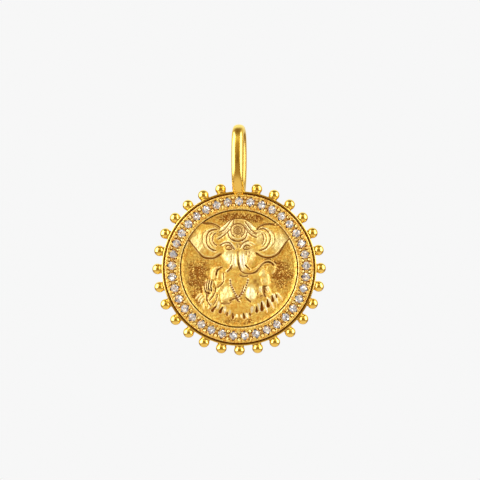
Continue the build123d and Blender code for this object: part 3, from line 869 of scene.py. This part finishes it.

# Fine raised lines on the forms, each with a painted highlight: half width, rise, route
RAISED = (
    (2.4, 10, -42, 68.5, -50, 67, -57, 61, -59, 50, -57.5, 40, -51, 32.5, -42, 28.5),
    (2, 8, -43, 63, -50, 60, -53, 52, -52, 43, -47, 36, -41, 33),
    (1.8, 8, -39, 62, -45, 58, -47.5, 50, -46, 42, -40, 37),
    (1.6, 7, -69, 30, -62, 23.5, -56, 20.8, -50, 20.3, -41, 21.5, -33, 27),
    (2.4, 10, 40, 70, 49, 67.5, 55, 61, 56.8, 52, 55.5, 43, 50, 35, 42, 30),
    (2, 8, 40, 63, 47, 59, 49.5, 52, 49, 44, 44, 37, 38, 34.5),
    (1.8, 8, 37, 60, 42, 57, 44.5, 50, 43, 43, 38.5, 39),
    (1.6, 7, 70, 33.5, 63, 26, 57, 23.2, 50, 22.2, 41, 23.2, 31, 29),
    (2, 9, -13, 76, -17, 69, -24, 61.5, -32, 55, -38, 51.5),
    (2, 9, 10, 76, 14, 69, 18, 63, 24, 58.5, 31, 55),
    (2.2, 10, -20, 61, -18.5, 54.5, -14, 49, -8, 46),
    (2.2, 10, 15.5, 61, 14.5, 55, 10.5, 49, 5, 46),
    (1.8, 9, -15.5, 69, -15.8, 62, -13, 55.5, -8, 52, -2, 50.8, 4, 52, 9, 55.5, 11.5, 61, 11.5, 68),
    (2, 10, -31, 42, -25, 45.5, -19, 47, -14, 44.5, -10, 39.5, -6.5, 33),
    (1.6, 9, -28, 39, -23, 42, -18, 42, -14, 38.5, -10.5, 33),
    (2, 10, 3.5, 34, 5.5, 38.5, 9, 42, 13, 45, 19, 45, 27, 41),
    (1.6, 9, 6.5, 35.5, 9, 39.5, 13, 42.5, 17, 42, 21, 39),
    (1.4, 8, 7, -36.5, 10, -33, 9.5, -31),
    (1.4, 14, -13.5, 6.2, -17.5, 0.5, -22.2, -4.6),
)

# Fine cut lines, painted dark as shade: half width, depth, route
CUT = (
    (1.8, 20, -37.5, 67, -43, 66.5, -50, 64, -54.5, 57.5, -56, 50, -55, 42, -51, 35.5, -45, 32,
     -39.5, 30.5),
    (1.2, 7, -57, 65, -61.5, 58, -61.8, 45, -58, 34),
    (1.4, 12, -40, 60, -44, 57, -45.5, 50, -44, 44, -38.5, 39.5),
    (2.2, 6, -47, 61, -50, 55, -50, 45, -46, 39),
    (1.8, 20, 34, 66.5, 40, 68.5, 45.5, 66.5, 50.5, 61, 53, 54, 52.5, 46, 49, 39, 44, 33.5, 35, 30.8),
    (1.2, 7, 55, 65, 60, 56, 60, 46, 56, 37),
    (1.4, 12, 39, 60, 41.5, 55, 42, 48, 39.5, 42),
    (2.2, 6, 44, 60, 47, 53, 46, 45, 42, 40),
    (1.4, 12, -11, 84, -16, 78, -21, 71, -26, 65.5, -34, 62),
    (3, 7, -16, 72, -22, 65, -30, 58.5, -36, 56),
    (1.6, 12, -16, 66, -22, 59.5, -29, 54, -36, 50),
    (1.2, 10, -8.5, 84, -10, 77),
    (1.4, 12, 10, 80, 15, 73, 20, 66.5, 25, 62.5, 31, 60),
    (3, 7, 11, 74, 15.5, 67, 21, 62, 29, 58.5),
    (1.6, 14, 10.5, 70, 13.5, 64.5, 18, 59.5, 24, 55, 30, 53),
    (1.8, 14, -2, 76.8, -8, 75.5, -12.5, 71, -13.7, 65, -12, 58.5, -8, 54.5),
    (1.6, 12, -2, 76.8, 4, 75.5, 8.5, 71, 9.5, 65, 8, 59, 4, 55),
    (1.8, 14, -18.5, 60, -17, 54.5, -13, 50, -8, 47.8),
    (2, 26, -11, 49, -6, 47, 0, 46.8, 6, 48.5),
    (1.6, 16, 5, 48.2, 10, 51.5, 12.5, 55.5, 13, 61),
    (1.2, 9, -2, 58.5, 2.6, 60.4, 4.5, 65, 2.6, 69.6, -2, 71.5, -6.6, 69.6, -8.5, 65, -6.6, 60.4, -2, 58.5),
    (1, 7, -2, 62, 0.8, 63.5, 0.8, 66.5, -2, 68, -4.8, 66.5, -4.8, 63.5, -2, 62),
    (1.2, 12, -33, 39.5, -26, 43, -19, 44.7, -14.5, 42, -11, 37.5, -8, 32.5),
    (1.4, 20, -22, 37.2, -19, 39.4, -15, 39, -11.8, 33.8),
    (1.4, 16, -21.2, 33, -16.5, 32.2, -12.8, 32.8),
    (1.4, 16, 2, 36, 4.5, 40, 8.5, 44.5, 12, 46.5, 16, 47.5),
    (1.4, 20, 7.5, 34, 10, 38.8, 14, 40, 17.8, 38),
    (1.4, 16, 8.5, 33, 12.5, 32.6, 17.5, 33.5),
    (1.4, 12, 12, 29, 12.8, 23),
    (1.4, 12, 17.5, 29, 16.5, 20),
    (1.2, 14, -3.5, 42, -3.2, 35.5),
    (1.2, 12, 0, 42, 2, 40),
    (1.3, 13, -1.8, 29, -1.8, 18, -1, 8, 0.8, 1, 4, -4.5, 9, -7.8, 16, -9, 23, -8, 28.5, -5.2, 33.5, 0,
     38.5, 6.2, 43, 10, 50, 11.8, 56, 10, 60, 5),
    (1.4, 16, 10.5, 6, 14, 2, 19, -1.5),
    (1.4, 20, -11.8, 5, -15.8, -0.8, -20.5, -6.2),
    (1.6, 20, -29, 2.5, -34, 0, -38, -4.5, -38.8, -11),
    (1.8, 18, -27, -8, -26.2, -20, -29, -26, -36, -32.5),
    (1, 14, -53, -20, -56, -29, -54.5, -37),
    (1, 14, -49.7, -20, -52.5, -30, -51, -38),
    (1, 14, -46, -21, -48.2, -30, -47, -38),
    (1.2, 14, -56.5, -22, -59.3, -30, -57, -40, -50, -43),
    (1.2, 14, -55.3, -43, -54.5, -54, -49, -64),
    (1.6, 20, -39.8, -33, -41.7, -42, -46, -49, -50, -54.5),
    (1.6, 20, -37.2, -45, -38.8, -54, -44, -62.5),
    (2, 24, -48.5, -37, -47.5, -38),
    (1.8, 22, -52.5, -41, -51.8, -42),
    (1.6, 18, 8.5, -30, 5.5, -38, 2, -45, -2, -50),
    (2.6, 20, -16, -55.5, -10, -52.5, -5, -50.5, -2, -53.5),
    (1.8, 16, -5, -49, -3, -54, 2, -57),
    (1.4, 12, -30, -60.2, -20, -60.3, -14, -58),
    (1.6, 16, 11, -49.5, 15, -53, 20, -57.5),
    (2.4, 3, 27, -21, 30, -26, 34, -31),
    (2, 24, 42, -30.5, 47, -30),
    (3.4, 18, 43, -32, 43, -40, 43, -47),
    (1.8, 20, 36, -47.5, 39, -46.5),
    (1.8, 20, 44, -46, 46, -48),
    (1.8, 20, 31.8, -42, 32, -44),
    (1.4, 10, 2, -11.5, 8, -13.5, 15, -12.5),
    (2, 18, 60, 12, 63.5, 9.5),
    (1.2, 6, -12, 23.5, -12.5, 15, -15.5, 7),
    (1.2, 12, -32.5, 70, -39.5, 74.5, -46, 76.8, -53.8, 77.8, -61, 76.8),
    (1.2, 13, -85, 48, -79.7, 41.2, -73.3, 33.4, -66.8, 25, -60.3, 19, -51.2, 17.2, -42.1, 18.2,
     -35.6, 21.5, -31.5, 24.3),
    (1.2, 12, 30, 66, 33, 69.5, 38, 73.5, 45, 76, 52, 76.5, 60, 75.5),
    (1.2, 13, 85, 50, 80, 44.5, 76, 38.5, 70.5, 30, 65.5, 24, 58.2, 20, 50, 18.5, 42, 19.5, 35.5, 22.2,
     29, 26.5),
)

# Deep gaps between petals, painted dark as shade: half width, top x and z, bottom x and z
GAPS = (
    (3.4, 38.5, -57.5, 39.2, -70),
    (3.2, 48, -53, 50, -64),
    (2.6, 56, -45.5, 57.8, -55),
    (1.4, 62.5, -42, 64, -49),
    (2.6, 29.8, -65, 30.3, -73.5),
    (2.4, 7.5, -76.5, 9, -84),
    (1.8, 17.5, -75.5, 19, -80),
    (2.4, -11, -76.5, -10.5, -84),
    (1.8, -20, -74.5, -20.5, -79.5),
    (3, -28, -66, -32.2, -74),
    (3, -38.5, -64, -45.5, -71.8),
)

# Strings of beads: bead radius, rise, route
STRINGS = (
    (1.2, 5, -2, 55.7, 2.6, 56.9, 6, 60.3, 7.3, 65, 6, 69.7, 2.6, 73.1, -2, 74.3, -6.6, 73.1, -10, 69.7,
     -11.3, 65, -10, 60.3, -6.6, 56.9, -2, 55.7),
    (2, 12, -15, -19, -14.5, -27, -11, -34, -8, -41, -3, -48),
    (2, 12, 15.5, -18, 14, -25, 12, -31, 10, -36, 5, -43, 0, -49),
)

# Patches of painted shade on the dish's ground: centre x and z, half sizes, strength
GROUND_SHADE_PATCHES = (
    (-69, -10, 23, 28, 100),
    (72, -10, 19, 28, 100),
    (-27, 84.8, 15, 6.5, 85),
    (2, 88.5, 24, 6.2, 135),
    (30, 84.8, 15, 6.5, 85),
    (2, -90, 50, 10, 52),
    (-64, -50, 20, 20, 50),
)

# Places of painted shade, brown on the figure itself: centre x and z, half sizes, strength
FIGURE_SHADES = (
    (-2, 65, 12, 12, 46),
    (-2, 65, 3, 3, 70),
    (-17.5, 35.8, 5, 3, 38),
    (13, 36.2, 5, 3, 38),
    (-16.5, 36, 1.4, 1.3, 85),
    (12.5, 36.4, 1.4, 1.3, 85),
    (43, -39, 3.6, 8.5, 80),
    (27.5, -21.5, 3.6, 4.5, 78),
    (32, -27.5, 3, 3.5, 60),
    (55, -1, 7, 7, 25),
    (0, -9, 20, 4, 18),
    (33, -20, 7, 5, 25),
    (-5, -51, 2.4, 1.7, 95),
    (-9.6, -51.5, 2.2, 1.5, 90),
    (-1.6, -53.5, 2, 1.5, 90),
    (1.8, -46.5, 2, 1.7, 90),
    (-13, -50, 1.8, 1.4, 80),
    (6.4, -44.5, 1.8, 1.5, 80),
    (-7, -47.5, 1.4, 1.2, 80),
    (4, -51, 1.6, 1.2, 80),
    (-23, -57.2, 6, 1.2, 75),
    (36, -48, 6, 3, 45),
)

# Places on the figure painted bright as highlights: centre x and z, half sizes, strength
HIGHLIGHT_PLACES = (
    (-17, 19, 12, 13, 118),
    (-8, 12.5, 5, 13, 150),
    (6, 12, 7, 17, 185),
    (19, 25, 10, 10, 80),
    (34, 56, 7, 13, 75),
    (19, 73, 12, 10, 120),
    (-25, 70, 11, 11, 110),
    (-18, 79, 8, 5, 110),
    (0, 81, 14, 5, 25),
    (-21, -43, 11, 14, 85),
    (20, -42, 9, 14, 150),
    (-42, -5, 6, 10, 55),
    (41.5, -7, 3.5, 7, 85),
    (44.4, -20.5, 3.5, 5, 85),
    (36.4, -35.5, 3, 5.5, 145),
    (49, -34.5, 3.5, 5.5, 155),
    (-74.5, 42, 18, 17, 80),
    (73, 43, 18, 17, 115),
)

# Square field over the dish: step and reach in mm, places as shares of the seam circle's radius
FIELD_STEP = 0.025
FIELD_HALF = 7.65
field_count = round(2 * FIELD_HALF / FIELD_STEP) + 1
field_axis = np.linspace(-FIELD_HALF, FIELD_HALF, field_count) / seam_circle_radius
field_x, field_z = np.meshgrid(field_axis, field_axis, indexing="ij")

# Heights in mm: least height of a form, and those at which the figure hides the ground and the cove
THINNEST = 0.12
HIDES_GROUND = 0.06
HIDES_COVE = 0.08

# Sizes in mm of the blurs and of the ground's random marks
FIGURE_BLUR = 0.04
RELIEF_BLUR = 0.022
LINE_RIM_BLUR = 0.07
FIGURE_EDGE_BLUR = 0.05
HOLLOW_BLUR = 0.065
SLOPE_BLUR = 0.14
GRIT_SIZE = 0.040
CLOUD_SIZE = 0.22
WAVE_SIZE = 0.12

# Marks that lines and beads leave, painted shade in cut lines and pits and a painted highlight on raised
# lines and beads: full at this rise, half width of the mark, strength
DARK_LINE = (0.10, 0.013, 1.0)
BRIGHT_LINE = (0.10, 0.014, 1.3)
BEAD_FULL_RISE = 0.12
BEAD_PITCH = 0.042
PIT_RADIUS = 0.018


def rounded(route, steps=6):
    """Smooth route through the chosen points, as a Catmull-Rom curve."""
    points = np.vstack([route[:1], route, route[-1:]])
    smooth = []
    for before, start, end, after in zip(points, points[1:], points[2:], points[3:]):
        for t in np.linspace(0, 1, steps, endpoint=False):
            smooth.append(
                start + t * (end - before) / 2
                + t**2 * (before - 2.5 * start + 2 * end - after / 2)
                + t**3 * (1.5 * (start - end) + (after - before) / 2)
            )
    return np.array(smooth + [points[-1]])


def route_points(numbers):
    """Points of a route that a table gives in hundredths."""
    return np.array(numbers).reshape(-1, 2) / 100


def in_shares(row, leading):
    """A table's row in hundredths as its leading numbers and the points of its route."""
    return *(np.array(row[:leading]) / 100), route_points(row[leading:])


def window(points, margin):
    """Index ranges of the part of the field within a margin of some points."""
    low = np.searchsorted(field_axis, points.min(axis=0) - margin)
    high = np.searchsorted(field_axis, points.max(axis=0) + margin)
    return slice(low[0], high[0]), slice(low[1], high[1])


def inside(outline, x, z):
    """Whether places lie inside an outline."""
    within = np.zeros(x.shape, dtype=bool)
    for (x1, z1), (x2, z2) in zip(outline, np.roll(outline, -1, axis=0)):
        spans = (z1 > z) != (z2 > z)
        crossing = x1 + (z - z1) * (x2 - x1) / (z2 - z1 if z2 != z1 else 1)
        within ^= spans & (x < crossing)
    return within


def near_route(route, margin):
    """Part of the field near a route, each place's distance to it, and the share along it there."""
    part = window(route, margin)
    x, z = field_x[part], field_z[part]
    lengths = np.hypot(*np.diff(route, axis=0).T)
    nearest = np.full(x.shape, np.inf)
    share = np.zeros(x.shape)
    done = 0.0
    for (x1, z1), (x2, z2), length in zip(route, route[1:], lengths):
        if length == 0:
            continue
        along = np.clip(((x - x1) * (x2 - x1) + (z - z1) * (z2 - z1)) / length**2, 0, 1)
        distance = np.hypot(x - x1 - along * (x2 - x1), z - z1 - along * (z2 - z1))
        closer = distance < nearest
        share = np.where(closer, (done + along * length) / lengths.sum(), share)
        nearest = np.where(closer, distance, nearest)
        done += length
    return part, nearest, share


def strongest(values, part, new):
    """Raises a part of a field to new values where they are higher."""
    values[part] = np.maximum(values[part], new)


def raise_form(figure, planes, crown, edges, outline):
    planes, crown, edges = (np.array(numbers) / 100 for numbers in (planes, crown, edges))
    outline = route_points((*outline, *outline[:2]))
    outline = rounded(outline, 4)
    part, distance, _ = near_route(outline, 0.01)
    x, z = field_x[part], field_z[part]
    low, high = outline[:, 1].min(), outline[:, 1].max()
    edge = edges[0] + (edges[1] - edges[0]) * (z - low) / (high - low)
    inward = np.clip(distance / edge, 0, 1)
    top = np.minimum.reduce([
        height * relief_height + seam_circle_radius * (tilt_x * (x - at_x) + tilt_z * (z - at_z))
        for at_x, at_z, height, tilt_x, tilt_z in planes
    ])
    centre_x, centre_z, half_x, half_z, rise = crown
    dome = np.sqrt(bulge(np.hypot((x - centre_x) / half_x, (z - centre_z) / half_z)))
    top = np.clip(top + rise * relief_height * dome, THINNEST, None)
    body = top * np.sqrt(1 - (1 - inward) ** 2)
    strongest(figure, part, np.where(inside(outline[:-1], x, z), body, 0))


def raise_ridge(figure, start_width, end_width, start_height, end_height, route):
    route = rounded(route)
    part, distance, share = near_route(route, max(start_width, end_width))
    width = start_width + (end_width - start_width) * share
    height = start_height + (end_height - start_height) * share
    strongest(figure, part, relief_height * height * np.sqrt(bulge(distance / width)))


def raise_petal(figure, bright, half_width, height, bend, route):
    """Pointed leaf from its root to its tip, bent sideways at the middle by a share of its length, its
    inner part painted bright as a highlight.
    """
    root, tip = route
    across = np.array([tip[1] - root[1], root[0] - tip[0]])
    route = rounded(np.array([root, (root + tip) / 2 + bend * across, tip]))
    part, distance, share = near_route(route, half_width)
    widest = 0.35
    width = half_width * (1 - 0.8 * ((share - widest) / (1 - widest)) ** 2)
    petal = height * (1 - 0.35 * share) * bulge(distance / width) ** 0.9
    strongest(figure, part, relief_height * petal)
    strongest(bright, part, 3.7 * height * smoothstep(1 - distance / width, 0.0, 0.5))


def add_line(figure, marks, mark, half_width, rise, route):
    """Fine line, raised or cut, that also leaves its mark: a painted highlight along a raised line, painted
    shade in a cut one.
    """
    part, distance, _ = near_route(rounded(route), half_width)
    figure[part] += relief_height * rise * bulge(distance / half_width)
    full_rise, mark_width, strength = mark
    strength *= min(1.0, abs(rise) / full_rise)
    strongest(marks, part, strength * np.clip(1.7 * (1 - distance / mark_width), 0, 1))


def cut_gap(figure, dark, half_width, route):
    """Gap between two petals, opening from its top to its bottom, cut in and painted dark as shade."""
    part, distance, share = near_route(route, half_width)
    width = half_width * (0.25 + 0.95 * share)
    depth = smoothstep(1 - distance / width, 0, 0.35)
    figure[part] = figure[part] * (1 - depth) - 0.06 * depth
    strongest(dark, part, depth)


def add_beads(figure, dark, bright, radius, rise, route):
    """Row of small beads with a pit beside each; the beads get a painted highlight and the pits painted
    shade.
    """
    route = rounded(route)
    pitches = max(1, round(np.hypot(*np.diff(route, axis=0).T).sum() / BEAD_PITCH))
    for k, place in enumerate(evenly(route, 2 * pitches + 1)):
        if k % 2:
            size, height, marks, strength = PIT_RADIUS, -rise, dark, 1.0
        else:
            size, height, marks, strength = radius, rise, bright, 1.6
        part = window(place[None], radius)
        away = np.hypot(field_x[part] - place[0], field_z[part] - place[1]) / size
        profile = np.sqrt(bulge(away))
        figure[part] += relief_height * height * profile
        strength *= min(1.0, rise / BEAD_FULL_RISE)
        strongest(marks, part, strength * np.minimum(1, 1.1 * profile))


def spots(table):
    """Squared distance from each of a table's spots, in half sizes, and the spot's strength."""
    for centre_x, centre_z, half_x, half_z, strength in np.array(table) / 100:
        yield ((field_x - centre_x) / half_x) ** 2 + ((field_z - centre_z) / half_z) ** 2, strength


def blurred(values, sigma):
    """Gaussian blur of the field, sigma in mm."""
    reach = max(1, int(3 * sigma / FIELD_STEP))
    weights = np.exp(-0.5 * (np.arange(-reach, reach + 1) * FIELD_STEP / sigma) ** 2)
    weights /= weights.sum()
    for axis, size in enumerate(values.shape):
        padded = np.pad(values, [(reach, reach) if a == axis else (0, 0) for a in (0, 1)], mode="edge")
        values = sum(w * np.take(padded, range(k, k + size), axis=axis) for k, w in enumerate(weights))
    return values


def random_field(sigma):
    """Random field, smooth over sigma in mm, with a spread of 1."""
    values = blurred(rng.normal(size=field_x.shape), sigma)
    return values / values.std()


def relief_fields():
    """Height above the back, and the marks of painted shade (recess) and painted highlight (crest) over the
    whole dish.
    """
    figure, dark, bright = (np.zeros(field_x.shape) for _ in range(3))
    for row in FORMS.values():
        raise_form(figure, *row)
    for row in RIDGES.values():
        raise_ridge(figure, *in_shares(row, 4))
    for row in PETALS:
        raise_petal(figure, bright, *in_shares(row, 3))
    on_figure = np.clip(figure / HIDES_GROUND, 0, 1)
    figure = blurred(figure, FIGURE_BLUR)
    for row in RAISED:
        add_line(figure, bright, BRIGHT_LINE, *in_shares(row, 2))
    for row in STRINGS:
        add_beads(figure, dark, bright, *in_shares(row, 2))
    for row in CUT:
        half_width, depth, route = in_shares(row, 2)
        add_line(figure, dark, DARK_LINE, half_width, -depth, route)
    for row in GAPS:
        cut_gap(figure, dark, *in_shares(row, 1))
    # Dark lines get bright rims of painted highlight
    bright = np.maximum(bright, np.clip(2.2 * blurred(dark, LINE_RIM_BLUR) - dark, 0, 1))
    # Painted shade at the listed places on the figure
    for away, strength in spots(FIGURE_SHADES):
        dark = np.maximum(dark, strength * np.exp(-away))
    # The figure lies over the cove
    radius = np.hypot(field_x, field_z) * seam_circle_radius
    cove = cove_rise * np.clip(1 + (radius - plate_radius) / cove_width, 0, 1) ** 2
    relief = blurred(cove * (1 - np.clip(figure / HIDES_COVE, 0, 1)) + figure, RELIEF_BLUR)
    # Sandy ground of the dish, with painted shade that is brownest at the left and right and under the top
    # edge, and a grainy random tone
    grit = random_field(GRIT_SIZE)
    cloud = random_field(CLOUD_SIZE)
    off_figure = 1 - blurred(on_figure, FIGURE_EDGE_BLUR)
    ground = off_figure * (1 - smoothstep(cove, 0.03, 0.10))
    shade_patch = sum(strength * np.exp(-away) for away, strength in spots(GROUND_SHADE_PATCHES))
    shade_patch = smoothstep(shade_patch * (1 + 0.20 * cloud), 0.14, 0.95)
    ground_shade_and_grit = ground * np.clip(0.95 * shade_patch - (0.09 + 0.50 * shade_patch) * grit, 0, 0.90)
    relief += (0.006 + 0.014 * shade_patch) * grit * ground + 0.003 * grit
    # Hand-worked unevenness, stronger on the figure
    relief += (0.010 + 0.005 * (1 - ground)) * random_field(WAVE_SIZE)
    # Painted shade: brown in hollows, lines, steep walls and the ground's shaded places
    hollow = blurred(relief, HOLLOW_BLUR) - relief
    steepness = np.hypot(*np.gradient(relief, FIELD_STEP))
    walls = 0.5 * smoothstep(steepness, 1.1, 2.6) * (1 - smoothstep(cove, 0.01, 0.08))
    hollow_shade = 0.4 * np.clip((hollow - 0.010) / 0.035, 0, 1)
    recess = np.maximum.reduce([hollow_shade, dark, walls, ground_shade_and_grit])
    # Pale on small ridges, and painted highlights on the figure's sides and at the listed places
    ridges = 0.6 * np.clip((-hollow - 0.006) / 0.035, 0, 1)
    slope = np.abs(np.gradient(blurred(relief, SLOPE_BLUR), FIELD_STEP, axis=0))
    side_highlight = 0.5 * smoothstep(slope, 0.10, 0.36) * (1 - off_figure)
    crest = np.maximum.reduce([ridges, side_highlight, bright])
    for away, strength in spots(HIGHLIGHT_PLACES):
        crest = np.maximum(crest, strength * np.exp(-(away**2)) * (1 - ground))
    return floor_height + relief, recess, crest


def sample(values, x, z):
    """Values of a field at places in mm, linear between its points."""
    u = np.clip((x + FIELD_HALF) / FIELD_STEP, 0, values.shape[0] - 1.001)
    v = np.clip((z + FIELD_HALF) / FIELD_STEP, 0, values.shape[1] - 1.001)
    i, j = u.astype(int), v.astype(int)
    a, b = u - i, v - j
    near = values[i, j] * (1 - a) + values[i + 1, j] * a
    far = values[i, j + 1] * (1 - a) + values[i + 1, j + 1] * a
    return near * (1 - b) + far * b


def make_relief():
    """Dish and figure as one fine sheet over the whole plate, closed by a wall and a flat back."""
    cells = 300
    steps = np.linspace(-1, 1, cells + 1)
    across, up = np.meshgrid(steps, steps, indexing="ij")
    plate_x = plate_radius * across * np.sqrt(1 - up**2 / 2)
    plate_z = plate_radius * up * np.sqrt(1 - across**2 / 2)
    height, recess, crest = (sample(values, plate_x, plate_z) for values in relief_fields())
    # Where an ear meets the edge it reaches across the seam
    radius = np.hypot(plate_x, plate_z) / plate_radius
    shrunk = 0.985 / plate_radius
    ear = np.zeros(radius.shape)
    for name in ("left_ear", "right_ear"):
        outline = 1.03 * route_points(FORMS[name][3])
        ear = np.maximum(ear, inside(outline, plate_x * shrunk, plate_z * shrunk))
    reach = (ring_inner_radius - ear_seam) / plate_radius - 1
    stretch = 1 + reach * ear * smoothstep(radius, 0.96, 1.0)
    # The ear's edge at the seam is painted brown as shade
    recess = np.maximum(recess, ear * smoothstep(radius, 0.985, 1.0))
    sheet = on_medallion(plate_x * stretch, plate_z * stretch, height).reshape(-1, 3)
    count = cells + 1
    order = np.arange(count * count).reshape(count, count)
    rim = np.concatenate([order[:-1, 0], order[-1, :-1], order[:0:-1, -1], order[0, :0:-1]])
    low = back_plate + seam_under
    rings = [
        on_medallion(plate_x.ravel()[rim], plate_z.ravel()[rim], level)
        for level in (seam_floor_height + seam_under, low)
    ]
    centre = on_medallion(np.zeros(1), 0.0, low)
    points = np.concatenate([sheet, *rings, centre])
    faces = list(sheet_faces(count, count)[:, ::-1])
    upper = rim
    for k in range(len(rings)):
        lower = len(sheet) + k * len(rim) + np.arange(len(rim))
        faces += zip(upper, lower, np.roll(lower, -1), np.roll(upper, -1))
        upper = lower
    faces += [(a, len(points) - 1, b) for a, b in zip(upper, np.roll(upper, -1))]
    hidden = len(points) - len(sheet)
    # The hidden walls and back are painted brown as shade
    recess = np.concatenate([recess.ravel(), np.ones(hidden)])
    crest = np.concatenate([crest.ravel(), np.zeros(hidden)])
    add_piece("relief_dish", points, faces, satin_gold, "ganesha_relief", recess, crest, 70)


make_cup()
make_pave_ring()
make_rim_beads()
make_bail()
make_relief()

for name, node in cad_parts.items():
    if name.startswith("stone_"):
        node.data.materials.clear()
        node.data.materials.append(clear_stone)
